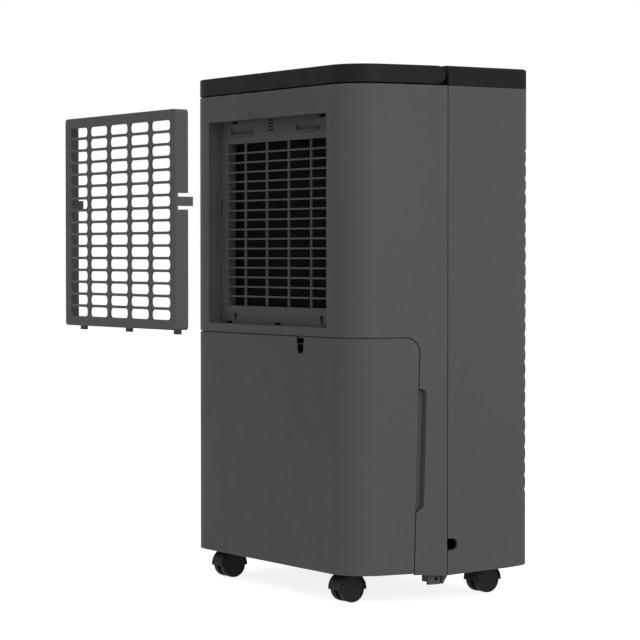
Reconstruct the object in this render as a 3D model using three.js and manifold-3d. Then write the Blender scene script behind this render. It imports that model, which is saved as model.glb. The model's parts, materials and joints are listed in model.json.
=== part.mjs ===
// A free-standing dehumidifier on casters: the front faces -Y, the rear, with its air filter and
// water tank, faces +Y. Millimetres, +Z up, floor at z = 0. The air filter is drawn pulled out of
// its bay, and the origin is under the middle of the object with the filter in that place.
import * as THREE from "three";
import { mergeVertices } from "three/addons/utils/BufferGeometryUtils.js";
import Module from "manifold-3d";

const wasm = await Module();
wasm.setup();

// ---- Driving dimensions ----
const bodyWidth = 384;
const sideFlare = 16.5;
const bodyDepth = 232;
const bodyHeight = 535.5;
const groundGap = 32.5;
const capHeight = 22;
const seamDepth = 119;
const rearCornerRadius = 44;
const frontCornerRadius = 13;
const sideBlendRadius = 400;
const wall = 2.5;
const seamGap = 1.2;
const clearance = 0.4;

// Front waves
const waveCount = 25;
const wavePitch = 15.9;
const waveHeight = 1.1;
const waveTopMargin = 68;

// Filter bay and filter
const bayWidth = 257.2;
const bayHeight = 236;
const bayTopMargin = 30.2;
const bayDepth = 16;
const grilleThickness = 4;
const grilleSideMargin = 18.3;
const grilleTopMargin = 25.8;
const grilleBottomMargin = 20.8;
const grilleRows = 17;
const grilleBar = 3;
const grilleRib = 1.9;
const filterFit = 0.6;
const filterTopFit = 1.6;
const filterThickness = 15.5;
const filterPulledOut = 188.6;
const filterWall = 2.4;
const filterColumns = 5;
const filterRows = 16;
const filterRib = 2.9;
const filterBar = 5.2;
const filterTopMargin = 11.2;
const filterSideMargin = 9;
const filterBottomMargin = 10.6;
const filterTabWidth = 12;
const filterTabLength = 5;
const filterTabInset = 19;
const filterTabThickness = 3.2;
const tongueWidth = 10;
const tongueReach = 6;
const tongueSlot = 3.7;
const tongueRise = 19;

// Water tank
const tankTop = 258.5;
const tankSeamTopDepth = 84;
const tankSeamBottomDepth = 77;
const tankCornerRadius = 16;
const tankWall = 2.2;
const tubDepth = 72;
const tubDrop = 23.5;
const tankFloorRise = 6.5;
const lidThickness = 2.5;
const notchWidth = 18;
const notchDepth = 19;
const notchX = -74;
const bayGap = 2.2;
const tankBayThickness = 2.5;

// Finger grips beside the tank, hose hole, base bracket
const gripBottom = 67;
const gripTopDrop = 55.6;
const gripWidth = 10.4;
const gripReach = 12;
const hoseHoleHeight = 13;
const hoseHoleLength = 13;
const hoseHoleZ = 30.2;
const bracketRearDepth = 99;
const bracketFrontDepth = 128;
const bracketDrop = 14;
const bracketInnerDrop = 11;
const bracketWidth = 13;
const bracketPlate = 4;

// Carry handle and top
const handleHeight = 20;
const handleBand = 20;
const handleGap = 1.5;
const pivotDepth = 106;
const pivotRadius = 4;
const topPlate = 2.5;
const outletWidth = 250;
const outletDepth = 66;
const outletSlats = 9;
const outletSlat = 2.2;
const buttonCount = 4;
const buttonPitch = 24;
const buttonRadius = 7;
const buttonHeight = 4;
const buttonProud = 0.8;
const lensWidth = 64;
const lensDepth = 26;
const panelMargin = 52;

// Casters
const wheelRadius = 15;
const wheelWidth = 8.5;
const wheelSides = 24;
const wheelGap = 7;
const wheelPlay = 0.5;
const hoodRadius = 18;
const hoodGap = 0.9;
const axleRadius = 2.5;
const stemRadius = 2.4;
const stemLength = 10;
const casterTrail = 9;
const casterShift = -4.5;
const rearCasterX = 128;
const rearCasterDepth = 25;
const frontCasterX = 141;
const frontCasterDepth = 199.6;

// Works inside
const coilMargin = 1;
const evaporatorThickness = 24;
const condenserThickness = 20;
const coilGap = 4;
const coilSetback = 8;
const fanRadius = 74;
const fanDepth = 42;
const fanBlades = 12;
const scrollWall = 2.5;
const motorRadius = 34;
const motorLength = 30;
const compressorRadius = 50;
const compressorHeight = 190;
const accumulatorRadius = 16;
const pipeRadius = 3.5;
const basePlate = 4;

// ---- Derived levels and planes ----
const frontCoverDepth = seamDepth + seamGap / 2;
const frontY = -(bodyDepth + filterPulledOut) / 2;
const rearY = frontY + bodyDepth;
const yAt = (depth) => rearY - depth;
const bottom = groundGap;
const top = bottom + bodyHeight;
const summit = top + capHeight;
const halfWidth = bodyWidth / 2;
const bayTop = top - bayTopMargin;
const bayBottom = bayTop - bayHeight;
const gripTop = tankTop - gripTopDrop;
const arcStep = Math.PI / 15;
const beyond = 1;
const far = bodyWidth;

// ---- Materials ----
const finish = (color, roughness, metalness = 0) =>
  new THREE.MeshStandardMaterial({ color, roughness, metalness });
const casing = () => finish(0x4c4c4c, 0.55);
const cap = () => finish(0x29292a, 0.5);
const blackPlastic = () => finish(0x1d1d1e, 0.6);
const greyPlastic = () => finish(0x8a8a88, 0.6);
const steel = () => finish(0xb9bbbd, 0.35, 0.9);
const copper = () => finish(0xb87344, 0.35, 0.9);
const fins = () => finish(0xc9ccce, 0.4, 0.8);
const glassy = () => finish(0x0c0d0e, 0.12);
const enamel = () => finish(0x18191a, 0.4, 0.3);
const foam = () => finish(0xe7e5df, 0.7);

// ---- Solids ----
function solid(geometry) {
  const bare = geometry.index ? geometry.toNonIndexed() : geometry.clone();
  bare.deleteAttribute("normal");
  bare.deleteAttribute("uv");
  const merged = mergeVertices(bare, 1e-4);
  return new wasm.Manifold(
    new wasm.Mesh({
      numProp: 3,
      vertProperties: merged.attributes.position.array,
      triVerts: new Uint32Array(merged.index.array),
    }),
  );
}

const join = (...pieces) => pieces.flat().reduce((whole, piece) => whole.add(piece));
const cut = (piece, ...tools) => tools.flat().reduce((rest, tool) => rest.subtract(tool), piece);

function box(x, y, z) {
  const [[x0, x1], [y0, y1], [z0, z1]] = [x, y, z];
  const shape = new THREE.BoxGeometry(x1 - x0, y1 - y0, z1 - z0);
  return solid(shape.translate((x0 + x1) / 2, (y0 + y1) / 2, (z0 + z1) / 2));
}

// A box given by its span behind the rear face instead of its Y span.
const slab = (x, depth, z) => box(x, [yAt(depth[1]), yAt(depth[0])], z);
const middle = (width) => [-width / 2, width / 2];

function extrude(points, length, holes = []) {
  const shape = new THREE.Shape(points);
  shape.holes = holes.map((hole) => new THREE.Path(hole));
  return new THREE.ExtrudeGeometry(shape, { depth: length, bevelEnabled: false });
}

const basis = (x, y, z) => new THREE.Matrix4().makeBasis(x, y, z);
const axisX = new THREE.Vector3(1, 0, 0);
const axisY = new THREE.Vector3(0, 1, 0);
const axisZ = new THREE.Vector3(0, 0, 1);

// A plan outline (x, y) between two heights.
const upright = (points, z, holes) =>
  solid(extrude(points, z[1] - z[0], holes).translate(0, 0, z[0]));

// A side outline (y, z) between two X planes.
const crosswise = (points, x) =>
  solid(extrude(points, x[1] - x[0]).applyMatrix4(basis(axisY, axisZ, axisX)).translate(x[0], 0, 0));

// A rear outline (x, z) between two depths behind the rear face.
function rearward(points, depth, holes) {
  const shape = extrude(points, depth[1] - depth[0], holes);
  shape.applyMatrix4(basis(axisX, axisZ, axisY.clone().negate()));
  return solid(shape.translate(0, yAt(depth[0]), 0));
}

// A round bar between two points.
function rod(from, to, radius, sides = 16) {
  const start = new THREE.Vector3(...from);
  const span = new THREE.Vector3(...to).sub(start);
  const shape = new THREE.CylinderGeometry(radius, radius, span.length(), sides);
  shape.translate(0, span.length() / 2, 0);
  shape.applyQuaternion(new THREE.Quaternion().setFromUnitVectors(axisY, span.clone().normalize()));
  return solid(shape.translate(start.x, start.y, start.z));
}

// A convex outline with round corners, moved inwards by inset; corners are [x, y, radius],
// anticlockwise.
function roundedOutline(corners, inset = 0) {
  const count = corners.length;
  const edges = corners.map(([x, y], i) => {
    const [nextX, nextY] = corners[(i + 1) % count];
    const run = new THREE.Vector2(nextX - x, nextY - y).normalize();
    const inward = new THREE.Vector2(-run.y, run.x);
    const start = new THREE.Vector2(x, y).addScaledVector(inward, inset);
    return { start, run, inward };
  });
  return corners.flatMap(([, , radius], i) => {
    const before = edges[(i + count - 1) % count];
    const after = edges[i];
    const turn = Math.acos(before.run.dot(after.run));
    const gap = after.start.clone().sub(before.start);
    const along = gap.cross(after.run) / before.run.cross(after.run);
    const tip = before.start.clone().addScaledVector(before.run, along);
    const rounding = radius - inset;
    if (radius === 0 || rounding < 0.2) return [tip];
    const reach = rounding * Math.tan(turn / 2);
    const centre = tip.addScaledVector(before.run, -reach).addScaledVector(before.inward, rounding);
    const first = Math.atan2(-before.inward.y, -before.inward.x);
    const steps = Math.max(1, Math.round(turn / arcStep));
    return Array.from({ length: steps + 1 }, (_, step) => {
      const angle = first + (turn * step) / steps;
      const spoke = new THREE.Vector2(Math.cos(angle), Math.sin(angle));
      return spoke.multiplyScalar(rounding).add(centre);
    });
  });
}

const rectangle = (x, y, radius = 0) =>
  roundedOutline([
    [x[0], y[0], radius],
    [x[1], y[0], radius],
    [x[1], y[1], radius],
    [x[0], y[1], radius],
  ]);

const circle = (x, y, radius, sides) =>
  Array.from({ length: sides }, (_, i) => {
    const angle = ((i + 0.5) * 2 * Math.PI) / sides;
    return new THREE.Vector2(x + radius * Math.cos(angle), y + radius * Math.sin(angle));
  });

// The body's plan: a flat rear, large rear corners, sides that flare to the shell seam, a flat front.
const rearHalfWidth = halfWidth - sideFlare;
const planCorners = [
  [-halfWidth, frontY, frontCornerRadius],
  [halfWidth, frontY, frontCornerRadius],
  [halfWidth, yAt(seamDepth), sideBlendRadius],
  [rearHalfWidth, rearY, rearCornerRadius],
  [-rearHalfWidth, rearY, rearCornerRadius],
  [-halfWidth, yAt(seamDepth), sideBlendRadius],
];
const body = (inset, z) => upright(roundedOutline(planCorners, inset), z);
const within = (piece, depth, z = [-far, 2 * far]) => piece.intersect(slab([-far, far], depth, z));
const bothSides = (make) => [make(1), make(-1)];

// ---- Assembly ----
const dehumidifier = new THREE.Group();

function add(name, piece, material) {
  const mesh = piece.getMesh();
  const geometry = new THREE.BufferGeometry();
  geometry.setAttribute("position", new THREE.BufferAttribute(mesh.vertProperties, 3));
  geometry.setIndex(new THREE.BufferAttribute(mesh.triVerts, 1));
  const part = new THREE.Mesh(geometry.toNonIndexed(), material);
  part.geometry.computeVertexNormals();
  part.name = name;
  dehumidifier.add(part);
}

// ---- Tank outline, seen from the side ----
const tankTopZ = bottom + tankTop;
const tankSide = (grow) =>
  crosswise(
    roundedOutline(
      [
        [yAt(tankSeamBottomDepth), bottom, 0],
        [rearY, bottom, 0],
        [rearY, tankTopZ, 0],
        [yAt(tankSeamTopDepth), tankTopZ, tankCornerRadius],
      ],
      -grow,
    ),
    [-far, far],
  );

// ---- Rear shell ----
const bayOpening = rearward(
  rectangle(middle(bayWidth), [bayBottom, bayTop], 2),
  [-beyond, wall + beyond],
);
const tabNotch = (x, depth) =>
  slab(
    [x - filterTabWidth / 2 - clearance, x + filterTabWidth / 2 + clearance],
    depth,
    [bayBottom - filterTabLength - clearance, bayBottom + beyond],
  );
const tabReach = bayWidth / 2 - filterFit - filterTabInset;
const tabPlaces = [-tabReach, 0, tabReach];

// The grip's front edge runs parallel to the tank's slanted seam.
const seamLean = (tankSeamTopDepth - tankSeamBottomDepth) / tankTop;
function fingerGrip([from, to], grow) {
  const frontEdge = (rise) => yAt(tankSeamBottomDepth + seamLean * rise + gripWidth);
  const side = crosswise(
    roundedOutline(
      [
        [frontEdge(gripBottom), bottom + gripBottom, 7],
        [rearY, bottom + gripBottom, 0],
        [rearY, bottom + gripTop, 0],
        [frontEdge(gripTop), bottom + gripTop, 8],
      ],
      -grow,
    ),
    [-far, far],
  );
  const ring = cut(body(from, [bottom, top]), body(to, [0, top]));
  return within(ring.intersect(side), [tankSeamBottomDepth + seamGap, bodyDepth]);
}
const gripVoid = fingerGrip([0, gripReach], 0);
const gripWalls = cut(fingerGrip([wall / 2, gripReach + wall], wall), gripVoid, tankSide(seamGap));

function rearShell() {
  const skin = within(
    cut(body(0, [bottom, top]), body(wall, [bottom - beyond, top + beyond])),
    [-beyond, seamDepth - seamGap / 2],
  );
  const notches = tabPlaces.map((x) => tabNotch(x, [-beyond, wall + beyond]));
  return join(cut(skin, bayOpening, notches, tankSide(seamGap), gripVoid), gripWalls);
}
add("rear_shell", rearShell(), casing());

// ---- Front shell, with the waves across its front face ----
const hoseHoleCentre = bottom + hoseHoleZ;
function frontShell() {
  const waveTop = top - waveTopMargin;
  const stepsPerWave = 4;
  const wave = Array.from({ length: waveCount * stepsPerWave + 1 }, (_, i) => {
    const z = waveTop - (i * wavePitch) / stepsPerWave;
    const dip = (waveHeight * (1 - Math.cos((i * 2 * Math.PI) / stepsPerWave))) / 2;
    return new THREE.Vector2(frontY + dip, z);
  });
  const rear = yAt(seamDepth + seamGap / 2);
  const profile = [
    new THREE.Vector2(frontY, top),
    ...wave,
    new THREE.Vector2(frontY, bottom),
    new THREE.Vector2(rear, bottom),
    new THREE.Vector2(rear, top),
  ];
  const block = body(0, [bottom, top]).intersect(crosswise(profile, [-far, far]));
  const inside = body(wall + waveHeight, [bottom - beyond, top + beyond]);
  const hole = crosswise(
    roundedOutline([
      [yAt(seamDepth + hoseHoleLength), hoseHoleCentre - hoseHoleHeight / 2, hoseHoleHeight / 2 - 0.2],
      [rear + beyond, hoseHoleCentre - hoseHoleHeight / 2, 0],
      [rear + beyond, hoseHoleCentre + hoseHoleHeight / 2, 0],
      [yAt(seamDepth + hoseHoleLength), hoseHoleCentre + hoseHoleHeight / 2, hoseHoleHeight / 2 - 0.2],
    ]),
    [-far, 0],
  );
  return cut(block, inside, hole);
}
add("front_shell", frontShell(), casing());

// ---- Casters: where the stems and wheels stand ----
const casters = [
  { place: "rear_left", side: 1, x: rearCasterX + casterShift, depth: rearCasterDepth, toStem: 1 },
  { place: "rear_right", side: -1, x: casterShift - rearCasterX, depth: rearCasterDepth, toStem: 1 },
  { place: "front_left", side: 1, x: frontCasterX + casterShift, depth: frontCasterDepth, toStem: -1 },
  { place: "front_right", side: -1, x: casterShift - frontCasterX, depth: frontCasterDepth, toStem: -1 },
];
const stemDepth = (caster) => caster.depth + caster.toStem * casterTrail;
const stemBottom = bottom - 5;
const stemTop = stemBottom + stemLength;

// ---- Base pan with its stem sockets, and the foot bracket under the near side ----
const panInset = wall + waveHeight + clearance;
const tankPanInset = tankWall + clearance;
function basePan() {
  const rearPart = within(body(tankPanInset, [bottom, bottom + basePlate]), [0, tankSeamBottomDepth]);
  const frontPart = within(
    body(panInset, [bottom, bottom + basePlate]),
    [tankSeamBottomDepth - beyond, bodyDepth],
  );
  const bosses = casters.map((caster) =>
    rod([caster.x, yAt(stemDepth(caster)), bottom], [caster.x, yAt(stemDepth(caster)), stemTop], 8),
  );
  const sockets = casters.map((caster) => {
    const radius = stemRadius + clearance;
    const y = yAt(stemDepth(caster));
    return rod([caster.x, y, bottom - beyond], [caster.x, y, stemTop + beyond], radius);
  });
  return cut(join(rearPart, frontPart, bosses), sockets);
}
add("base_pan", basePan(), blackPlastic());

function baseBracket() {
  const low = bottom - bracketDrop;
  const roof = bottom - clearance;
  const side = [
    [yAt(bracketFrontDepth), roof],
    [yAt(bracketFrontDepth - 9.5), low],
    [yAt(bracketRearDepth), low],
    [yAt(bracketRearDepth), roof],
  ].map(([y, z]) => new THREE.Vector2(y, z));
  const outer = -halfWidth + 9;
  const block = crosswise(side.reverse(), [outer, outer + bracketWidth]);
  const step = box(
    [outer + bracketPlate, outer + bracketWidth + beyond],
    [yAt(bracketFrontDepth + beyond), yAt(bracketRearDepth - beyond)],
    [low - beyond, bottom - bracketInnerDrop],
  );
  const holeY = yAt(bracketRearDepth + 10.5);
  const holeZ = low + 6;
  const hole = rod([outer - beyond, holeY, holeZ], [outer + bracketWidth + beyond, holeY, holeZ], 2.2, 16);
  const groove = slab(
    [outer - beyond, outer + 3],
    [bracketFrontDepth - 13.5, bracketFrontDepth - 10.5],
    [low - 3, roof + beyond],
  );
  return cut(block, step, hole, groove);
}
add("base_bracket", baseBracket(), casing());

// ---- Filter bay: a tray behind the rear shell's opening, with the intake grille as its back ----
const grilleTop = bayTop - grilleTopMargin;
const grilleBottom = bayBottom + grilleBottomMargin;
const grilleRowPitch = (grilleTop - grilleBottom) / grilleRows;
const grilleWidth = bayWidth - 2 * grilleSideMargin;
const filterWidth = bayWidth - 2 * filterFit;
const columnPitch = (filterWidth - 2 * filterSideMargin) / filterColumns;

// The grille's bars and ribs, which cross its one large window.
function grilleBars() {
  const depth = [bayDepth, bayBack];
  const bars = [-1.5, -0.5, 0.5, 1.5].map((step) => {
    const x = step * columnPitch;
    return slab([x - grilleBar / 2, x + grilleBar / 2], depth, [grilleBottom - beyond, grilleTop + beyond]);
  });
  const ribs = Array.from({ length: grilleRows - 1 }, (_, row) => {
    const z = grilleBottom + (row + 1) * grilleRowPitch;
    const x = middle(grilleWidth + 2 * beyond);
    return slab(x, depth, [z - grilleRib / 2, z + grilleRib / 2]);
  });
  return [...bars, ...ribs];
}

const sensorX = 14.5;
const sensorSlotPitch = 3.7;
const sensorTop = bayTop - 0.5;
const bayScrewX = bayWidth / 2 - 34.6;
const bayScrewZ = bayBottom + 8;
const bayScrewRadius = 2;
const bayScrewHead = 3.6;
const bayBack = bayDepth + grilleThickness;
const tongueMiddle = (bayTop + bayBottom) / 2 + tongueRise;

function filterBay() {
  const outside = slab(
    middle(bayWidth + 2 * wall),
    [wall + clearance, bayDepth + 0.01],
    [bayBottom - wall, bayTop + wall],
  );
  const inside = rearward(rectangle(middle(bayWidth), [bayBottom, bayTop], 2), [0, bayDepth + beyond]);
  const through = [bayDepth - beyond, bayBack + beyond];
  const panel = slab(
    middle(bayWidth + 2 * wall),
    [bayDepth, bayBack],
    [bayBottom - wall, bayTop + wall],
  );
  const window = slab(middle(grilleWidth), through, [grilleBottom, grilleTop]);
  const back = join(cut(panel, window), grilleBars());
  const sensorSlots = [0, 1, 2, 3].map((i) => {
    const high = sensorTop - i * sensorSlotPitch;
    return slab([sensorX - 5.2, sensorX + 5.2], through, [high - 1.3, high]);
  });
  const tongueHoles = bothSides((side) => {
    const outer = side * (bayWidth / 2 - filterFit + 0.5);
    const inner = outer - side * (filterWall + 2);
    return slab([Math.min(outer, inner), Math.max(outer, inner)], through, [
      tongueMiddle - tongueWidth / 2 - 1,
      tongueMiddle + tongueWidth / 2 + 1,
    ]);
  });
  const catchSlots = bothSides((side) => {
    const x = side * (bayWidth / 2 - 33.6);
    return slab([x - 6.5, x + 6.5], through, [bayTop - 3.6, bayTop - 0.3]);
  });
  const screwHoles = bothSides((side) =>
    rod(
      [side * bayScrewX, yAt(through[0]), bayScrewZ],
      [side * bayScrewX, yAt(through[1]), bayScrewZ],
      bayScrewRadius + clearance,
      12,
    ),
  );
  const notches = tabPlaces.map((x) => tabNotch(x, [wall, bayDepth]));
  const openings = [tongueHoles, catchSlots, screwHoles, sensorSlots, notches].flat();
  return cut(join(cut(outside, inside), back), openings);
}
add("filter_bay", filterBay(), casing());

bothSides((side) => {
  const at = (depth) => [side * bayScrewX, yAt(depth), bayScrewZ];
  const shank = rod(at(bayDepth - 0.5), at(bayBack + 5), bayScrewRadius, 12);
  const head = rod(at(bayDepth - 2.2), at(bayDepth - 0.4), bayScrewHead, 16);
  const recess = slab(
    [side * bayScrewX - 2, side * bayScrewX + 2],
    [bayDepth - 3, bayDepth - 1.4],
    [bayScrewZ - 0.5, bayScrewZ + 0.5],
  );
  add(side > 0 ? "bay_screw_left" : "bay_screw_right", cut(join(head, shank), recess), steel());
});

// ---- Air filter, pulled straight out of its bay ----
const filterFace = -filterPulledOut;
const filterBack = filterFace + filterThickness;
const filterBottom = bayBottom + filterFit;
const filterTop = bayTop - filterTopFit;
const holesTop = filterTop - filterTopMargin;
const holesBottom = filterBottom + filterBottomMargin;
const filterRowPitch = (holesTop - holesBottom + filterRib) / filterRows;

function filterFrame() {
  const outline = rectangle(middle(filterWidth), [filterBottom, filterTop], 4);
  const depth = [filterFace, filterFace + filterWall];
  const holesWidth = filterColumns * columnPitch - filterBar;
  const window = slab(middle(holesWidth), [depth[0] - beyond, depth[1] + beyond], [holesBottom, holesTop]);
  const bars = Array.from({ length: filterColumns - 1 }, (_, i) => {
    const x = (i + 1 - filterColumns / 2) * columnPitch;
    return slab([x - filterBar / 2, x + filterBar / 2], depth, [holesBottom - beyond, holesTop + beyond]);
  });
  const ribs = Array.from({ length: filterRows - 1 }, (_, i) => {
    const high = holesTop - (i + 1) * filterRowPitch + filterRib;
    return slab(middle(holesWidth + 2 * beyond), depth, [high - filterRib, high]);
  });
  const face = join(cut(rearward(outline, depth), window), bars, ribs);
  const rim = cut(
    rearward(outline, [filterFace + filterWall - 0.01, filterBack]),
    slab(
      middle(filterWidth - 2 * filterWall),
      [filterFace, filterBack + beyond],
      [filterBottom + filterWall, filterTop - filterWall],
    ),
  );
  const tongueCut = bothSides((side) => {
    const x = side * (filterWidth / 2);
    return slab([x - filterWall - 0.1, x + filterWall + 0.1], [filterFace + 3.2, filterBack + beyond], [
      tongueMiddle - tongueWidth / 2 - tongueSlot,
      tongueMiddle + tongueWidth / 2 + tongueSlot,
    ]);
  });
  const tongues = bothSides((side) => {
    const outer = side * (filterWidth / 2);
    const inner = outer - side * filterWall;
    return slab([Math.min(outer, inner), Math.max(outer, inner)],
      [filterFace + 3.1, filterBack + tongueReach],
      [tongueMiddle - tongueWidth / 2, tongueMiddle + tongueWidth / 2]);
  });
  const tabs = tabPlaces.map((x) =>
    slab(
      [x - filterTabWidth / 2, x + filterTabWidth / 2],
      [filterBack - filterTabThickness - 0.6, filterBack - 0.6],
      [filterBottom - filterTabLength, filterBottom + 0.5],
    ),
  );
  return join(cut(join(face, rim), tongueCut), tongues, tabs);
}
add("filter_frame", filterFrame(), casing());

// ---- Water tank ----
const tubFloor = bottom + tankFloorRise;
const tubTop = tankTopZ - tubDrop;
const notch = rearward(
  roundedOutline([
    [notchX - notchWidth / 2, tankTopZ - notchDepth, notchWidth / 2 - 0.3],
    [notchX + notchWidth / 2, tankTopZ - notchDepth, notchWidth / 2 - 0.3],
    [notchX + notchWidth / 2, tankTopZ + beyond, 0],
    [notchX - notchWidth / 2, tankTopZ + beyond, 0],
  ]),
  [-beyond, tankWall + beyond],
);

function waterTank() {
  const skin = cut(body(0, [bottom, tankTopZ]), body(tankWall, [0, top])).intersect(tankSide(0));
  const tub = within(body(tankWall / 2, [tubFloor, tubTop]), [0, tubDepth]);
  const hollow = within(
    body(tankWall, [tubFloor + tankWall, tubTop + beyond]),
    [0, tubDepth - tankWall],
  );
  return cut(join(cut(skin, notch), tub), hollow);
}
add("water_tank", waterTank(), casing());

const lidBottom = tubTop + clearance;
const lidTop = lidBottom + lidThickness;
const floatX = 70;
const floatPivotDepth = 18;
const floatPivotZ = lidBottom - 12;
const floatPinRadius = 2;
const floatLug = 3;
const floatArmWidth = 10;

function tankLid() {
  const plate = within(body(tankWall + clearance, [lidBottom, lidTop]), [0, tubDepth - clearance]);
  const inlet = slab([-45, 15], [22, 52], [lidBottom - beyond, lidTop + beyond]);
  const lugX = floatArmWidth / 2 + clearance;
  const lugs = bothSides((side) => {
    const inner = floatX + side * lugX;
    const outer = inner + side * floatLug;
    return slab([Math.min(inner, outer), Math.max(inner, outer)],
      [floatPivotDepth - 5, floatPivotDepth + 5], [floatPivotZ - 5, lidBottom + 0.5]);
  });
  const pinHole = rod(
    [floatX - 20, yAt(floatPivotDepth), floatPivotZ],
    [floatX + 20, yAt(floatPivotDepth), floatPivotZ],
    floatPinRadius + clearance,
    16,
  );
  return cut(join(plate, lugs), inlet, pinHole);
}
add("tank_lid", tankLid(), greyPlastic());

function tankFloat() {
  const reach = floatArmWidth / 2 + clearance + floatLug + 2;
  const pivot = [yAt(floatPivotDepth), floatPivotZ];
  const pin = rod([floatX - reach, ...pivot], [floatX + reach, ...pivot], floatPinRadius, 16);
  const arm = slab(
    [floatX - floatArmWidth / 2, floatX + floatArmWidth / 2],
    [floatPivotDepth - 3, floatPivotDepth + 30],
    [floatPivotZ - 3, floatPivotZ + 3],
  );
  const block = slab(
    [floatX - 22, floatX + 22],
    [floatPivotDepth + 14, floatPivotDepth + 46],
    [floatPivotZ - 26, floatPivotZ - 2.5],
  );
  return join(pin, arm, block);
}
add("tank_float", tankFloat(), foam());

// ---- Tank bay: the ceiling over the tank and the bulkhead in front of it ----
const bulkheadDepth = tankSeamTopDepth + bayGap;
const bulkheadBack = bulkheadDepth + tankBayThickness;
const ceilingBottom = tankTopZ + bayGap;
const ceilingTop = ceilingBottom + tankBayThickness;
const insideWall = wall + clearance;
const gripBlock = fingerGrip([0, gripReach + wall + clearance], wall + clearance);

function tankBay() {
  const bulkhead = within(
    body(insideWall, [bottom + basePlate + clearance, ceilingTop]),
    [bulkheadDepth, bulkheadBack],
  );
  const ceiling = within(body(insideWall, [ceilingBottom, ceilingTop]), [0, bulkheadBack]);
  return cut(join(bulkhead, ceiling), gripBlock);
}
add("tank_bay", tankBay(), blackPlastic());

// ---- Drain spout over the tank, behind the notch ----
const spoutRadius = 5;
const spoutBore = 3.2;
const spoutZ = (lidTop + ceilingBottom) / 2;
function drainSpout() {
  const at = (depth) => [notchX, yAt(depth), spoutZ];
  const tube = rod(at(7), at(bulkheadDepth - clearance), spoutRadius);
  const collar = rod(at(12), at(15), spoutRadius + 1.2);
  return cut(join(tube, collar), rod(at(6), at(bulkheadDepth), spoutBore, 16));
}
add("drain_spout", drainSpout(), blackPlastic());

// ---- Carry handle: a flip-up band round the rear and both sides ----
const handleBottom = top + handleGap;
const handleTop = handleBottom + handleHeight;
const pivotZ = handleBottom + handleHeight / 2;
function carryHandle() {
  const band = cut(
    body(0, [handleBottom, handleTop]),
    body(handleBand, [handleBottom - beyond, handleTop + beyond]),
  );
  const rounding = handleHeight / 2;
  const sideView = roundedOutline([
    [yAt(pivotDepth + rounding), handleBottom, rounding - 0.01],
    [rearY + beyond, handleBottom, 0],
    [rearY + beyond, handleTop, 0],
    [yAt(pivotDepth + rounding), handleTop, rounding - 0.01],
  ]);
  const pivotHoles = rod([-far, yAt(pivotDepth), pivotZ], [far, yAt(pivotDepth), pivotZ],
    pivotRadius + clearance);
  const holeReach = halfWidth - 8;
  const blindHoles = pivotHoles.intersect(box([-holeReach, holeReach], [-far, far], [0, summit]));
  return cut(band.intersect(crosswise(sideView, [-far, far])), blindHoles);
}
add("carry_handle", carryHandle(), cap());

// ---- Top deck inside the handle, with the air outlet ----
const deckInset = handleBand + 1.5;
const deckTop = summit - 3;
const deckFront = frontCoverDepth - 0.8;
const outletMiddle = deckInset + (deckFront - deckInset) / 2;
const outletSpan = [outletMiddle - outletDepth / 2, outletMiddle + outletDepth / 2];

function topDeck() {
  const ledge = within(body(insideWall, [top - topPlate, top]), [0, deckFront]);
  const drum = within(body(deckInset, [top - 0.5, deckTop]), [0, deckFront]);
  const underneath = within(
    body(deckInset + topPlate, [top - topPlate - beyond, deckTop - topPlate]),
    [0, deckFront - topPlate],
  );
  const outlet = slab(middle(outletWidth), outletSpan, [top, deckTop + beyond]);
  const pinHole = rod([-far, yAt(pivotDepth), pivotZ], [far, yAt(pivotDepth), pivotZ],
    pivotRadius + clearance);
  return cut(join(ledge, drum), underneath, outlet, pinHole);
}
add("top_deck", topDeck(), cap());

// Each pivot pin runs from inside the deck's wall into the blind hole in the handle's arm.
bothSides((side) => {
  const at = (x) => [side * x, yAt(pivotDepth), pivotZ];
  const wallX = halfWidth - deckInset;
  const headX = wallX - topPlate - 6.5;
  const head = rod(at(headX - 3), at(headX), pivotRadius + 0.7);
  const shank = rod(at(headX - 0.5), at(halfWidth - 9), pivotRadius);
  add(side > 0 ? "handle_pin_left" : "handle_pin_right", join(head, shank), steel());
});

// ---- Outlet grille ----
function outletGrille() {
  const x = middle(outletWidth - 2 * clearance);
  const depth = [outletSpan[0] + clearance, outletSpan[1] - clearance];
  const z = [deckTop - 9, deckTop - 0.6];
  const border = 4;
  const inner = slab([x[0] + border, x[1] - border], [depth[0] + border, depth[1] - border],
    [z[0] - beyond, z[1] + beyond]);
  const frame = cut(slab(x, depth, z), inner);
  const clear = depth[1] - depth[0] - 2 * border;
  const slats = Array.from({ length: outletSlats }, (_, i) => {
    const at = depth[0] + border + (clear * (i + 1)) / (outletSlats + 1);
    return slab([x[0] + border - 0.5, x[1] - border + 0.5], [at - outletSlat / 2, at + outletSlat / 2],
      [z[0] + 1, z[1] - 0.6]);
  });
  const spine = slab([-1.5, 1.5], [depth[0] + border - 0.5, depth[1] - border + 0.5], [z[0] + 1, z[1] - 2]);
  return join(frame, slats, spine);
}
add("outlet_grille", outletGrille(), blackPlastic());

// ---- Front top cover with its control panel ----
const panelDepth = bodyDepth - panelMargin;
const buttonsX = Array.from(
  { length: buttonCount },
  (_, i) => 60 + i * buttonPitch,
);
const lensX = [-lensWidth / 2 - 20, lensWidth / 2 - 20];
const lensRecess = 1.2;

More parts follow.
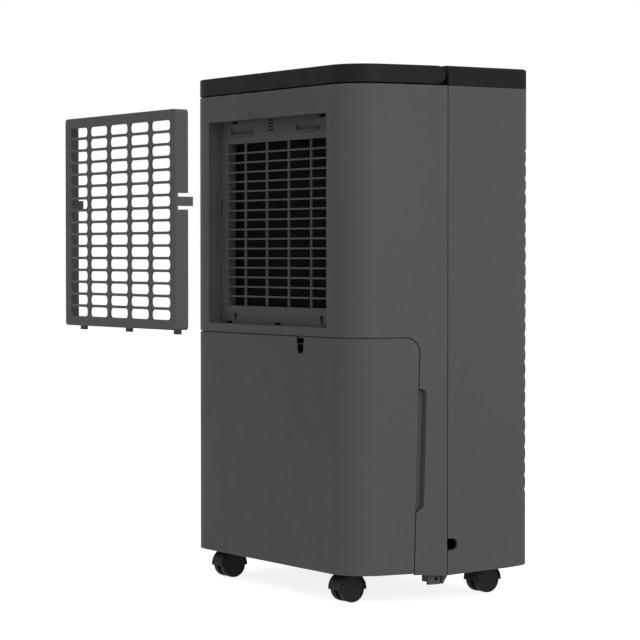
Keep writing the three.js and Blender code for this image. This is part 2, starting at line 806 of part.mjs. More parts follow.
function frontCover() {
  const bevel = 2;
  const lower = within(body(0, [top + 0.3, summit - bevel]), [frontCoverDepth, bodyDepth + beyond]);
  const upper = within(body(bevel / 2, [summit - bevel - 0.01, summit]), [
    frontCoverDepth,
    bodyDepth + beyond,
  ]);
  const inside = within(body(wall, [top, summit - topPlate - lensRecess]), [
    frontCoverDepth + wall,
    bodyDepth,
  ]);
  const lensPocket = slab(
    [lensX[0] - clearance, lensX[1] + clearance],
    [panelDepth - lensDepth / 2 - clearance, panelDepth + lensDepth / 2 + clearance],
    [summit - lensRecess - clearance, summit + beyond],
  );
  const lampHole = slab([-30, -10], [panelDepth - 4, panelDepth + 4], [top, summit]);
  const buttonHoles = buttonsX.map((x) =>
    rod([x, yAt(panelDepth), top], [x, yAt(panelDepth), summit + beyond], buttonRadius + clearance),
  );
  return cut(join(lower, upper), inside, lensPocket, lampHole, buttonHoles);
}
add("front_top_cover", frontCover(), cap());

add(
  "display_lens",
  slab(
    lensX,
    [panelDepth - lensDepth / 2, panelDepth + lensDepth / 2],
    [summit - lensRecess, summit - 0.2],
  ),
  glassy(),
);
["power", "mode", "fan", "timer"].forEach((use, i) => {
  const at = (z) => [buttonsX[i], yAt(panelDepth), z];
  const crown = rod(at(summit - buttonHeight), at(summit - 0.2), buttonRadius);
  const flange = rod(at(summit - buttonHeight - 1.4), at(summit - buttonHeight + 0.1), buttonRadius + 1.4);
  add(use + "_button", join(crown, flange), blackPlastic());
});

// ---- Casters ----
function caster({ place, x, depth, toStem }) {
  const y = yAt(depth);
  const stemY = yAt(depth + toStem * casterTrail);
  const axleZ = wheelRadius;
  const inner = wheelGap / 2;
  const outer = inner + wheelWidth;
  const hoodTop = bottom - 1.2;
  const drum = rod([x - outer, y, axleZ], [x + outer, y, axleZ], hoodRadius, 24);
  const neck = rod([x, stemY, axleZ + 6], [x, stemY, hoodTop], 10);
  const upperHalf = box([x - far, x + far], [y - far, y + far], [axleZ, hoodTop]);
  const wheelRoom = (side) =>
    rod(
      [x + side * (inner - wheelPlay), y, axleZ],
      [x + side * (outer + 5), y, axleZ],
      wheelRadius + hoodGap,
      24,
    );
  const web = box([x - inner + wheelPlay, x + inner - wheelPlay], [y - 7, y + 7], [axleZ - 7, axleZ + 6]);
  const shell = cut(join(drum, neck).intersect(upperHalf), bothSides(wheelRoom));
  const axleHole = rod([x - far, y, axleZ], [x + far, y, axleZ], axleRadius + 0.3, 16);
  const stemHole = rod([x, stemY, axleZ + 9], [x, stemY, bottom], stemRadius + 0.15);
  add("caster_hood_" + place, cut(join(shell, web), axleHole, stemHole), blackPlastic());
  add("caster_stem_" + place, rod([x, stemY, axleZ + 9.3], [x, stemY, stemTop], stemRadius), steel());
  add(
    "caster_axle_" + place,
    rod([x - outer + 3, y, axleZ], [x + outer - 3, y, axleZ], axleRadius, 16),
    steel(),
  );
  bothSides((side) => {
    const span = [x + side * inner, x + side * outer].sort((a, b) => a - b);
    const tread = wheelRadius / Math.cos(Math.PI / wheelSides);
    const tyre = crosswise(circle(y, axleZ, tread, wheelSides), span);
    const bore = rod([x, y, axleZ], [x + side * (outer - 3 + 0.3), y, axleZ], axleRadius + 0.3, 16);
    const name = side > 0 ? "caster_wheel_left_" : "caster_wheel_right_";
    add(name + place, cut(tyre, bore), blackPlastic());
  });
}
casters.forEach(caster);

// ---- Refrigeration and fan ----
const coilWidth = grilleWidth - 2 * coilMargin;
const coilBottom = grilleBottom + coilMargin;
const coilTop = grilleTop - coilMargin;
const coilHeight = coilTop - coilBottom;
const evaporatorDepth = [bayBack + coilSetback, bayBack + coilSetback + evaporatorThickness];
const condenserDepth = [evaporatorDepth[1] + coilGap, evaporatorDepth[1] + coilGap + condenserThickness];

function coil(depth) {
  const block = slab(middle(coilWidth), depth, [coilBottom, coilTop]);
  const bends = bothSides((side) =>
    [0.2, 0.4, 0.6, 0.8].map((share) => {
      const z = coilBottom + coilHeight * share;
      const x = (side * coilWidth) / 2;
      const y = yAt((depth[0] + depth[1]) / 2);
      return rod([x - side, y, z], [x + side * 7, y, z], 5, 8);
    }),
  );
  return join(block, ...bends);
}
add("evaporator", coil(evaporatorDepth), fins());
add("condenser", coil(condenserDepth), fins());

function dripTray() {
  const depth = [evaporatorDepth[0] - 3, condenserDepth[1] + 3];
  const x = middle(coilWidth + 20);
  const z = [ceilingTop + clearance, coilBottom - 1];
  const hollow = slab([x[0] + 2, x[1] - 2], [depth[0] + 2, depth[1] - 2], [z[0] + 2, z[1] + beyond]);
  const drain = rod([-10, yAt((depth[0] + depth[1]) / 2), z[0] - 1], [-10, yAt((depth[0] + depth[1]) / 2), z[1]], 4);
  return cut(slab(x, depth, z), hollow, drain);
}
add("drip_tray", dripTray(), greyPlastic());

const fanZ = (coilBottom + coilTop) / 2;
const chuteTop = top - topPlate - 4;
const scrollRear = condenserDepth[1] + 5;
const scrollFront = scrollRear + fanDepth + 2 * scrollWall + 6;
function scrollHousing() {
  const outer = fanRadius + 10;
  const place = (depth) => [0, yAt(depth), fanZ];
  const drum = rod(place(scrollRear), place(scrollFront), outer, 24);
  const chute = slab([-outer, 10], [scrollRear, scrollFront], [fanZ, chuteTop]);
  const drumRoom = rod(place(scrollRear + scrollWall), place(scrollFront - scrollWall), outer - scrollWall, 24);
  const chuteRoom = slab(
    [-outer + scrollWall, 10 - scrollWall],
    [scrollRear + scrollWall, scrollFront - scrollWall],
    [fanZ, chuteTop + beyond],
  );
  const eye = rod(place(scrollRear - beyond), place(scrollRear + scrollWall + beyond), fanRadius - 16, 24);
  const motorHole = rod(place(scrollFront - scrollWall - beyond), place(scrollFront + beyond), 8);
  return cut(join(drum, chute), drumRoom, chuteRoom, eye, motorHole);
}
add("scroll_housing", scrollHousing(), blackPlastic());

const fanRear = scrollRear + scrollWall + 3;
const fanFront = fanRear + fanDepth;
function impeller() {
  const at = (depth) => [0, yAt(depth), fanZ];
  const plate = rod(at(fanFront - 3), at(fanFront), fanRadius, 24);
  const ring = cut(
    rod(at(fanRear), at(fanRear + 3), fanRadius, 24),
    rod(at(fanRear - beyond), at(fanRear + 4), fanRadius - 10, 24),
  );
  const hub = rod(at(fanFront - 20), at(fanFront), 14);
  const shaftHole = rod(at(fanFront - 16), at(fanFront + beyond), 3.3, 16);
  const blades = Array.from({ length: fanBlades }, (_, i) => {
    const blade = new THREE.BoxGeometry(8, fanDepth - 1, 1.6);
    blade.rotateY(0.5);
    blade.translate(fanRadius - 5.5, 0, 0);
    blade.rotateY((i * 2 * Math.PI) / fanBlades);
    return solid(blade.translate(0, yAt((fanRear + fanFront) / 2), fanZ));
  });
  return cut(join(plate, ring, hub, blades), shaftHole);
}
add("impeller", impeller(), greyPlastic());

const shaftRadius = 3;
const motorRear = scrollFront + 0.5;
function fanMotor() {
  const at = (depth) => [0, yAt(depth), fanZ];
  const can = rod(at(motorRear), at(motorRear + motorLength), motorRadius, 24);
  return cut(can, rod(at(motorRear - beyond), at(motorRear + motorLength / 2), shaftRadius + 0.3));
}
add("fan_motor", fanMotor(), steel());

function fanShaft() {
  const at = (depth) => [0, yAt(depth), fanZ];
  return rod(at(fanFront - 15.5), at(motorRear + motorLength / 2 - 1), shaftRadius);
}
add("fan_shaft", fanShaft(), steel());

const baseTop = bottom + basePlate;
const compressorX = 70;
const compressorDepth = bulkheadBack + 12 + compressorRadius;
const compressorFoot = baseTop + 8;
const footCircle = compressorRadius - 4;
function compressor() {
  const at = (z) => [compressorX, yAt(compressorDepth), z];
  const profile = [
    [0, 0], [compressorRadius - 10, 0], [compressorRadius, 10],
    [compressorRadius, compressorHeight - 22], [compressorRadius - 14, compressorHeight - 4],
    [0, compressorHeight],
  ].map(([r, z]) => new THREE.Vector2(r, z));
  const shell = new THREE.LatheGeometry(profile, 24).rotateX(Math.PI / 2);
  const can = solid(shell.translate(...at(compressorFoot)));
  const feet = [0, 1, 2].map((i) => {
    const angle = (i * 2 * Math.PI) / 3 + Math.PI / 2;
    const x = compressorX + footCircle * Math.cos(angle);
    const y = yAt(compressorDepth) + footCircle * Math.sin(angle);
    return join(
      rod([x, y, compressorFoot], [x, y, compressorFoot + 3], 8, 16),
      rod([x, y, baseTop + 0.3], [x, y, compressorFoot + 0.5], 5, 16),
    );
  });
  return join(can, feet);
}
add("compressor", compressor(), enamel());

function pipe(route, radius = pipeRadius) {
  const curve = new THREE.CatmullRomCurve3(route.map((p) => new THREE.Vector3(...p)), false, "centripetal");
  const section = new THREE.Shape(circle(0, 0, radius, 8));
  return solid(new THREE.ExtrudeGeometry(section, { steps: 22, extrudePath: curve }));
}
const accumulatorX = compressorX - compressorRadius - accumulatorRadius - 6;
const accumulatorBottom = compressorFoot + 50;
const accumulatorTop = accumulatorBottom + 90;
const accumulatorY = yAt(compressorDepth);
add(
  "accumulator",
  rod([accumulatorX, accumulatorY, accumulatorBottom], [accumulatorX, accumulatorY, accumulatorTop], accumulatorRadius),
  copper(),
);
const pipeLane = coilWidth / 2 + 22;
const evaporatorY = yAt((evaporatorDepth[0] + evaporatorDepth[1]) / 2);
const condenserY = yAt((condenserDepth[0] + condenserDepth[1]) / 2);
const laneY = yAt(bulkheadBack + 10);
add(
  "suction_pipe",
  pipe([
    [accumulatorX, accumulatorY, accumulatorTop + 0.3],
    [accumulatorX, accumulatorY, accumulatorTop + 22],
    [accumulatorX - 30, laneY - 20, ceilingTop - 24],
    [-pipeLane + 12, laneY, ceilingTop - 12],
    [-pipeLane, laneY, ceilingTop + 24],
    [-pipeLane, evaporatorY, coilBottom + 26],
    [-coilWidth / 2 - 13, evaporatorY, coilBottom + coilHeight * 0.2],
    [-coilWidth / 2 - 7.5, evaporatorY, coilBottom + coilHeight * 0.2],
  ]),
  copper(),
);
add(
  "discharge_pipe",
  pipe([
    [compressorX, yAt(compressorDepth), compressorFoot + compressorHeight + 0.3],
    [compressorX, yAt(compressorDepth), compressorFoot + compressorHeight + 12],
    [compressorX + 30, laneY - 14, compressorFoot + compressorHeight + 22],
    [pipeLane - 10, laneY, ceilingTop + 6],
    [pipeLane, laneY, ceilingTop + 30],
    [pipeLane, condenserY, coilBottom + 24],
    [coilWidth / 2 + 13, condenserY, coilBottom + coilHeight * 0.2],
    [coilWidth / 2 + 7.5, condenserY, coilBottom + coilHeight * 0.2],
  ]),
  copper(),
);

// ---- Controls and sensors ----
const boxDepth = [scrollFront + 6, bodyDepth - wall - waveHeight - 6];
add("control_box", slab([30, 150], boxDepth, [coilTop + 4, top - 3]), greyPlastic());
add(
  "run_capacitor",
  rod([-60, yAt(bodyDepth - 36), coilTop - 50], [-60, yAt(bodyDepth - 36), coilTop + 10], 16, 24),
  greyPlastic(),
);
add(
  "humidity_sensor",
  slab([sensorX - 8, sensorX + 8], [bayBack + 0.5, bayBack + 6], [sensorTop - 16, sensorTop + 1]),
  greyPlastic(),
);
add(
  "tank_switch",
  slab([-40, -20], [bulkheadBack + 0.4, bulkheadBack + 10], [bottom + 150, bottom + 180]),
  blackPlastic(),
);

export default dehumidifier;
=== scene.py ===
import json
import math

import bmesh
import bpy
from mathutils import Matrix, Vector


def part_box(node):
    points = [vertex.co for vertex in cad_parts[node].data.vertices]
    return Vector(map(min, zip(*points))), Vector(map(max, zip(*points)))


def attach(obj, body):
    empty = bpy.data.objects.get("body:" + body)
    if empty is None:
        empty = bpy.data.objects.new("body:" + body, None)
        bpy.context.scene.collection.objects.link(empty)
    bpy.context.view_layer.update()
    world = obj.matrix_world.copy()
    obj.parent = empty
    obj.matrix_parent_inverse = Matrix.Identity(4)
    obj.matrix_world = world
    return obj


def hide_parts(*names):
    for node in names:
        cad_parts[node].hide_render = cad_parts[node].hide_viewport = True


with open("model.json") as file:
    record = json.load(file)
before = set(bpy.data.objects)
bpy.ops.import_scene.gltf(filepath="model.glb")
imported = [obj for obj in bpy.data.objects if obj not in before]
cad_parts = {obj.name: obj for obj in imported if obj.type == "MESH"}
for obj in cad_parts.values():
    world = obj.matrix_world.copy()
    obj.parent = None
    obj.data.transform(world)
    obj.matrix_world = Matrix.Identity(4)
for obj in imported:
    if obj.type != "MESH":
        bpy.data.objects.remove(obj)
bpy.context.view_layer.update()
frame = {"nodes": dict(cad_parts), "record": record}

MM = 0.001
FAR = 1000.0
BEVEL_FROM = 38
SHARP_FROM = 42


def span(node):
    low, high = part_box(node)
    return low / MM, high / MM


# ---- Sizes taken from the frame ----
REAR_LOW, REAR_HIGH = span("rear_shell")
FRONT_LOW, FRONT_HIGH = span("front_shell")
TANK_HIGH = span("water_tank")[1]
BAY_LOW, BAY_HIGH = span("filter_bay")
FILTER_LOW, FILTER_HIGH = span("filter_frame")
BAND_LOW, BAND_HIGH = span("carry_handle")
COVER_LOW, COVER_HIGH = span("front_top_cover")
REAR = REAR_HIGH.y
FRONT = FRONT_LOW.y
HALF = FRONT_HIGH.x
BOTTOM = REAR_LOW.z
TOP = REAR_HIGH.z
SEAM = (REAR_LOW.y + FRONT_HIGH.y) / 2
SEAM_DEPTH = REAR - SEAM

# ---- Sizes of the looks ----
WALL = 2.5
GAP = 1.2
SIDE_FLARE = 16.5
REAR_RADIUS = 44
FRONT_RADIUS = 13
SIDE_BLEND = 400
TANK_WALL = 2.2
TANK_SEAM_TOP = 84
TANK_SEAM_BOTTOM = 77
BAY_HALF = BAY_HIGH.x - WALL
BAY_BOTTOM = BAY_LOW.z + WALL
BAY_TOP = BAY_HIGH.z - WALL
BAY_PANEL = 4
BAY_DEPTH = REAR - BAY_LOW.y
COLLAR_DEPTH = 10
TABS = (-108.6, 0, 108.6)
TONGUE_Z = (BAY_TOP + BAY_BOTTOM) / 2 + 19
SCREW_X = 94
SCREW_Z = BAY_BOTTOM + 9
GRILLE_ROWS = 17
FILTER_ROWS = 16
FILTER_COLUMNS = 5
COLUMN = 47.6
BUTTONS = ("power", "mode", "fan", "timer")
BUTTON_RADIUS = 7
WHEEL_RADIUS = 15.0
CORNERS = ("rear_left", "rear_right", "front_left", "front_right")


def at(depth):
    """The Y of a plane that far behind the rear face."""
    return REAR - depth


# ---- Mesh tools ----
def rounded(corners, inset=0.0, step=6.0):
    """A convex outline of [x, y, radius] corners, anticlockwise, moved inwards by inset."""
    points = [Vector(corner[:2]) for corner in corners]
    runs = [(points[(i + 1) % len(points)] - p).normalized() for i, p in enumerate(points)]
    outline = []
    for i, (point, corner) in enumerate(zip(points, corners)):
        before, after = runs[i - 1], runs[i]
        inward, inward_after = Vector((-before.y, before.x)), Vector((-after.y, after.x))
        turn = math.acos(max(-1.0, min(1.0, before.dot(after))))
        tip = point + (inward + inward_after) * inset / (1 + inward.dot(inward_after))
        radius = corner[2] - inset
        if corner[2] == 0 or radius < 0.05:
            outline.append(tip)
            continue
        centre = tip - before * radius * math.tan(turn / 2) + inward * radius
        count = max(2, round(math.degrees(turn) / step))
        first = math.atan2(-inward.y, -inward.x)
        for k in range(count + 1):
            angle = first + turn * k / count
            outline.append(centre + Vector((math.cos(angle), math.sin(angle))) * radius)
    return outline


def rectangle(x, y, radius=0.0, inset=0.0, step=15.0):
    corners = [(x[0], y[0], radius), (x[1], y[0], radius), (x[1], y[1], radius), (x[0], y[1], radius)]
    return rounded(corners, inset, step)


def plan(inset=0.0, step=5.0):
    """The body seen from above: flat rear, large rear corners, sides that flare to the seam."""
    rear_half = HALF - SIDE_FLARE
    corners = [
        (-HALF, FRONT, FRONT_RADIUS),
        (HALF, FRONT, FRONT_RADIUS),
        (HALF, SEAM, SIDE_BLEND),
        (rear_half, REAR, REAR_RADIUS),
        (-rear_half, REAR, REAR_RADIUS),
        (-HALF, SEAM, SIDE_BLEND),
    ]
    return rounded(corners, inset, step)


def mesh_object(name, vertices, faces):
    mesh = bpy.data.meshes.new(name)
    mesh.from_pydata([tuple(v) for v in vertices], [], faces)
    edit = bmesh.new()
    edit.from_mesh(mesh)
    bmesh.ops.recalc_face_normals(edit, faces=edit.faces)
    edit.to_mesh(mesh)
    edit.free()
    piece = bpy.data.objects.new(name, mesh)
    bpy.context.scene.collection.objects.link(piece)
    return piece


def loft(rings):
    """A closed solid through rings that have the same number of points."""
    count = len(rings[0])
    vertices = [point for ring in rings for point in ring]
    faces = [list(range(count)), list(range((len(rings) - 1) * count, len(rings) * count))]
    for level in range(len(rings) - 1):
        for k in range(count):
            low, high = level * count, (level + 1) * count
            following = (k + 1) % count
            faces.append([low + k, low + following, high + following, high + k])
    return mesh_object("solid", vertices, faces)


def to_space(point, along, axis):
    u, v = point
    return {"x": (along, u, v), "y": (u, along, v), "z": (u, v, along)}[axis]


def prism(outline, low, high, axis="z"):
    """An outline carried along an axis: (y, z) along x, (x, z) along y, (x, y) along z."""
    return loft([[to_space(p, level, axis) for p in outline] for level in (low, high)])


def block(x, y, z):
    return prism(rectangle(sorted(x), sorted(y)), z[0], z[1])


def slab(x, depth, z):
    return block(x, (at(depth[1]), at(depth[0])), z)


def circle(centre, radius, sides=48):
    turns = [2 * math.pi * (k + 0.5) / sides for k in range(sides)]
    return [(centre[0] + radius * math.cos(t), centre[1] + radius * math.sin(t)) for t in turns]


def turned(profile, origin, axis, sides):
    """A lathe shape about an axis through origin; the profile is (radius, along) pairs."""
    place = {"x": (1, 2), "y": (0, 2), "z": (0, 1)}[axis]
    centre = (origin[place[0]], origin[place[1]])
    base = origin["xyz".index(axis)]
    return loft([[to_space(p, base + along, axis) for p in circle(centre, radius, sides)]
                 for radius, along in profile])


def rod(start, end, radius, sides=32):
    start, end = Vector(start), Vector(end)
    turn = (end - start).to_track_quat("Z", "Y").to_matrix()
    ring = circle((0, 0), radius, sides)
    return loft([[origin + turn @ Vector((u, v, 0)) for u, v in ring] for origin in (start, end)])


def apply_modifiers(piece):
    graph = bpy.context.evaluated_depsgraph_get()
    mesh = bpy.data.meshes.new_from_object(piece.evaluated_get(graph))
    piece.modifiers.clear()
    piece.data = mesh
    return piece


def flat(pieces):
    for piece in pieces:
        if isinstance(piece, (list, tuple)):
            yield from flat(piece)
        else:
            yield piece


def combine(piece, operation, others):
    others = list(flat(others))
    for other in others:
        modifier = piece.modifiers.new("combine", "BOOLEAN")
        modifier.operation = operation
        modifier.solver = "MANIFOLD"
        modifier.object = other
    apply_modifiers(piece)
    for other in others:
        bpy.data.objects.remove(other)
    return piece


def cut(piece, *tools):
    return combine(piece, "DIFFERENCE", tools)


def join(piece, *others):
    return combine(piece, "UNION", others)


def common(piece, *others):
    return combine(piece, "INTERSECT", others)


def both_sides(make):
    return [make(1), make(-1)]


def soften(piece, width, segments=2):
    """Merges flat faces and, where width isn't zero, rounds the edges sharper than BEVEL_FROM degrees."""
    edit = bmesh.new()
    edit.from_mesh(piece.data)
    bmesh.ops.remove_doubles(edit, verts=edit.verts, dist=0.004)
    bmesh.ops.dissolve_limit(edit, angle_limit=math.radians(0.6), verts=edit.verts, edges=edit.edges)
    edit.to_mesh(piece.data)
    edit.free()
    if width:
        bevel = piece.modifiers.new("edges", "BEVEL")
        bevel.width = width
        bevel.segments = segments
        bevel.limit_method = "ANGLE"
        bevel.angle_limit = math.radians(BEVEL_FROM)
        bevel.miter_outer = "MITER_ARC"
        apply_modifiers(piece)
    return piece


# ---- Placing ----
BODY_OF = {n: body for body, nodes in frame["record"]["behaviour"]["bodies"].items() for n in nodes}
SLOT_OF = {part["node"]: part["material_slot"] for part in frame["record"]["subparts"]}


def smooth(piece):
    piece.data.shade_smooth()
    piece.data.set_sharp_from_angle(angle=math.radians(SHARP_FROM))
    weighted = piece.modifiers.new("normals", "WEIGHTED_NORMAL")
    weighted.keep_sharp = True
    weighted.weight = 80


def add(piece, name, body, slot):
    """The piece, worked out in millimetres, joins a body; no CAD node has it by itself."""
    piece.name = name
    piece.data.name = name
    piece.data.transform(Matrix.Scale(MM, 4))
    piece.data.materials.clear()
    piece.data.materials.append(material_for(slot))
    smooth(piece)
    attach(piece, body)


def place(piece, node):
    """The piece, worked out in millimetres, takes the place of this CAD node."""
    add(piece, node + "_shape", BODY_OF[node], SLOT_OF[node])
    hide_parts(node)


def copy_of(node):
    """The CAD node's own solid, in millimetres, ready to be softened."""
    source = frame["nodes"][node]
    piece = bpy.data.objects.new(node, source.data.copy())
    bpy.context.scene.collection.objects.link(piece)
    piece.data.transform(Matrix.Scale(1 / MM, 4))
    return piece


# ---- Materials ----
def nodes_of(name):
    made = bpy.data.materials.new(name)
    made.use_nodes = True
    tree = made.node_tree
    shader = tree.nodes["Principled BSDF"]
    coords = tree.nodes.new("ShaderNodeTexCoord").outputs["Object"]
    return made, tree, shader, coords


def noise(tree, coords, scale, detail, stretch=None):
    texture = tree.nodes.new("ShaderNodeTexNoise")
    texture.inputs["Scale"].default_value = scale
    texture.inputs["Detail"].default_value = detail
    if stretch:
        mapping = tree.nodes.new("ShaderNodeMapping")
        mapping.inputs["Scale"].default_value = stretch
        tree.links.new(coords, mapping.inputs["Vector"])
        coords = mapping.outputs["Vector"]
    tree.links.new(coords, texture.inputs["Vector"])
    return texture.outputs["Fac"]


def ranged(tree, source, low, high, start=0.3, stop=0.7):
    remap = tree.nodes.new("ShaderNodeMapRange")
    remap.inputs["From Min"].default_value = start
    remap.inputs["From Max"].default_value = stop
    remap.inputs["To Min"].default_value = low
    remap.inputs["To Max"].default_value = high
    tree.links.new(source, remap.inputs["Value"])
    return remap.outputs["Result"]


def blended(tree, factor, first, second):
    mix = tree.nodes.new("ShaderNodeMix")
    mix.data_type = "RGBA"
    tree.links.new(factor, mix.inputs["Factor"])
    mix.inputs["A"].default_value = (*first, 1)
    mix.inputs["B"].default_value = (*second, 1)
    return mix.outputs["Result"]


def bumped(tree, shader, height, strength, distance, before=None):
    bump = tree.nodes.new("ShaderNodeBump")
    bump.inputs["Strength"].default_value = strength
    bump.inputs["Distance"].default_value = distance
    tree.links.new(height, bump.inputs["Height"])
    if before:
        tree.links.new(before, bump.inputs["Normal"])
    tree.links.new(bump.outputs["Normal"], shader.inputs["Normal"])
    return bump.outputs["Normal"]


def moulded(name, color, roughness, grain=1300.0, depth=0.22, shine=0.06):
    """Moulded plastic: a fine spark-eroded grain, faint flow and handling variation."""
    variation, spread = 0.05, 0.06
    made, tree, shader, coords = nodes_of(name)
    flow = ranged(tree, noise(tree, coords, 7.0, 4.0, (1, 1, 0.35)), 0, 1)
    dark = [c * (1 - variation) for c in color]
    light = [c * (1 + variation) for c in color]
    tree.links.new(blended(tree, flow, dark, light), shader.inputs["Base Color"])
    handling = noise(tree, coords, 38.0, 6.0)
    rough = ranged(tree, handling, roughness - spread, roughness + spread)
    tree.links.new(rough, shader.inputs["Roughness"])
    waviness = bumped(tree, shader, noise(tree, coords, 30.0, 1.0), 0.05, 0.0006)
    bumped(tree, shader, noise(tree, coords, grain, 2.0), depth, 0.00012, waviness)
    shader.inputs["Specular IOR Level"].default_value = shine
    return made


def metal(name, color, tarnish, roughness, stretch):
    """Bare metal: drawn or rolled streaks, and patches where it has dulled."""
    made, tree, shader, coords = nodes_of(name)
    patches = ranged(tree, noise(tree, coords, 26.0, 6.0), 0, 1, 0.42, 0.7)
    tree.links.new(blended(tree, patches, color, tarnish), shader.inputs["Base Color"])
    streaks = noise(tree, coords, 260.0, 4.0, stretch)
    tree.links.new(ranged(tree, streaks, roughness - 0.08, roughness + 0.14), shader.inputs["Roughness"])
    bumped(tree, shader, streaks, 0.12, 0.0001)
    shader.inputs["Metallic"].default_value = 1.0
    return made


def glass_window(name):
    made, tree, shader, coords = nodes_of(name)
    smudge = noise(tree, coords, 22.0, 5.0)
    shader.inputs["Base Color"].default_value = (0.006, 0.0065, 0.007, 1)
    tree.links.new(ranged(tree, smudge, 0.05, 0.16), shader.inputs["Roughness"])
    bumped(tree, shader, noise(tree, coords, 14.0, 2.0), 0.03, 0.0004)
    shader.inputs["Coat Weight"].default_value = 0.6
    shader.inputs["Coat Roughness"].default_value = 0.04
    return made


MAKERS = {
    "casing_plastic": lambda n: moulded(n, (0.0385, 0.0385, 0.0388), 0.55),
    "cap_plastic": lambda n: moulded(n, (0.0065, 0.0065, 0.0067), 0.55, 1300.0, 0.22, 0.05),
    "black_plastic": lambda n: moulded(n, (0.0085, 0.0085, 0.0088), 0.58),
    "button_plastic": lambda n: moulded(n, (0.016, 0.016, 0.0165), 0.36, 2200.0, 0.1),
    "grey_plastic": lambda n: moulded(n, (0.03, 0.03, 0.031), 0.55),
    "float_plastic": lambda n: moulded(n, (0.72, 0.71, 0.66), 0.6, 700.0, 0.3),
    "caster_plastic": lambda n: moulded(n, (0.009, 0.009, 0.0095), 0.5, 1700.0, 0.2),
    "compressor_enamel": lambda n: moulded(n, (0.012, 0.0125, 0.013), 0.3, 420.0, 0.25),
    "display_glass": glass_window,
    "steel": lambda n: metal(n, (0.1, 0.1, 0.103), (0.06, 0.06, 0.058), 0.45, (1, 1, 0.08)),
    "copper": lambda n: metal(n, (0.62, 0.29, 0.16), (0.33, 0.16, 0.1), 0.36, (1, 1, 0.15)),
    # Near-black fin colour: painted shade for the dark coil seen through the intake grille, not the colour of
    # aluminium fins.
    "fin_aluminium": lambda n: moulded(n, (0.004, 0.004, 0.0045), 0.6, 500.0, 0.3),
}
made_materials = {}


def material_for(slot):
    if slot not in made_materials:
        made_materials[slot] = MAKERS[slot](slot)
    return made_materials[slot]


# ---- Studio ----
def area_light(name, location, aim, size, power):
    light = bpy.data.lights.new(name, "AREA")
    light.shape = "RECTANGLE"
    light.size, light.size_y = size
    light.energy = power
    lamp = bpy.data.objects.new(name, light)
    bpy.context.scene.collection.objects.link(lamp)
    lamp.location = location
    lamp.rotation_euler = (Vector(aim) - Vector(location)).to_track_quat("-Z", "Y").to_euler()


def studio():
    camera_data = bpy.data.cameras.new("camera")
    camera_data.lens = 140.6
    camera_data.sensor_width = 36
    camera = bpy.data.objects.new("camera", camera_data)
    bpy.context.scene.collection.objects.link(camera)
    pitch = math.radians(-1.51)
    aim = Vector((0.8432 * math.cos(pitch), -0.5376 * math.cos(pitch), math.sin(pitch)))
    camera.location = (-2.434, REAR * MM + 1.478, 0.383)
    camera.rotation_euler = aim.to_track_quat("-Z", "Y").to_euler()
    bpy.context.scene.camera = camera
    bpy.context.scene.view_settings.view_transform = "Standard"

    world = bpy.data.worlds.new("studio")
    world.use_nodes = True
    tree = world.node_tree
    direction = tree.nodes.new("ShaderNodeTexCoord").outputs["Generated"]
    parts = tree.nodes.new("ShaderNodeSeparateXYZ")
    tree.links.new(direction, parts.inputs["Vector"])
    overhead = ranged(tree, parts.outputs["Z"], 1.0, 2.6, 0.25, 0.95)
    tree.links.new(overhead, tree.nodes["Background"].inputs["Strength"])
    tree.nodes["Background"].inputs["Color"].default_value = (1, 1, 1, 1)
    bpy.context.scene.world = world
    area_light("side_softbox", (-2.6, 0.1, 0.9), (0, -0.1, 0.3), (1.8, 1.8), 52)

    floor = prism(rectangle((-9000, 9000), (-9000, 9000)), -2.0, 0.0)
    floor.name = "floor"
    floor.data.transform(Matrix.Scale(MM, 4))
    pale, tree, shader, coords = nodes_of("floor_paper")
    tone = blended(tree, noise(tree, coords, 3.0, 2.0), (0.2, 0.2, 0.2), (0.23, 0.23, 0.23))
    tree.links.new(tone, shader.inputs["Base Color"])
    shader.inputs["Roughness"].default_value = 0.9
    shader.inputs["Emission Color"].default_value = (1, 1, 1, 1)
    shader.inputs["Emission Strength"].default_value = 0.84
    floor.data.materials.append(pale)


# ---- Shells ----
def shell(inset, thickness, low, high):
    ring = prism(plan(inset), low, high)
    return cut(ring, prism(plan(inset + thickness), low - 10, high + 10))


def tank_side(grow):
    """The tank's outline seen from the side, grown by the seam's width."""
    corners = [
        (at(TANK_SEAM_BOTTOM), BOTTOM - 5, 0),
        (REAR + 5, BOTTOM - 5, 0),
        (REAR + 5, TANK_HIGH.z, 0),
        (at(TANK_SEAM_TOP), TANK_HIGH.z, 16),
    ]
    return prism(rounded(corners, -grow), -HALF - 10, HALF + 10, "x")


GRIP_LOW = BOTTOM + 67
GRIP_HIGH = TANK_HIGH.z - 55.6
GRIP_WIDTH = 10.4
GRIP_REACH = 12
GRIP_FALL = 11.5
SEAM_LEAN = (TANK_SEAM_TOP - TANK_SEAM_BOTTOM) / (TANK_HIGH.z - BOTTOM)


def grip_room(grow, outer, inner):
    """The finger recess beside the tank, between two insets from the outer face."""
    def front(z):
        return at(TANK_SEAM_BOTTOM + SEAM_LEAN * (z - BOTTOM) + GRIP_WIDTH)
    corners = [
        (front(GRIP_LOW) + 8, GRIP_LOW, 3),
        (at(TANK_SEAM_BOTTOM - 25), GRIP_LOW, 0),
        (at(TANK_SEAM_BOTTOM - 25), GRIP_HIGH, 0),
        (front(GRIP_HIGH), GRIP_HIGH, 7),
        (front(GRIP_LOW + 7), GRIP_LOW + 7, 3),
    ]
    ring = cut(prism(plan(outer), BOTTOM, TANK_HIGH.z), prism(plan(inner), 0, TOP))
    return common(ring, prism(rounded(corners, -grow, 15), -FAR, FAR, "x"))


def half_at(y):
    """Half the body's width at that y."""
    outline = plan()
    for a, b in zip(outline, outline[1:] + outline[:1]):
        if a.x > 0 and b.x > 0 and min(a.y, b.y) <= y < max(a.y, b.y):
            return a.lerp(b, (y - a.y) / (b.y - a.y)).x
    return HALF


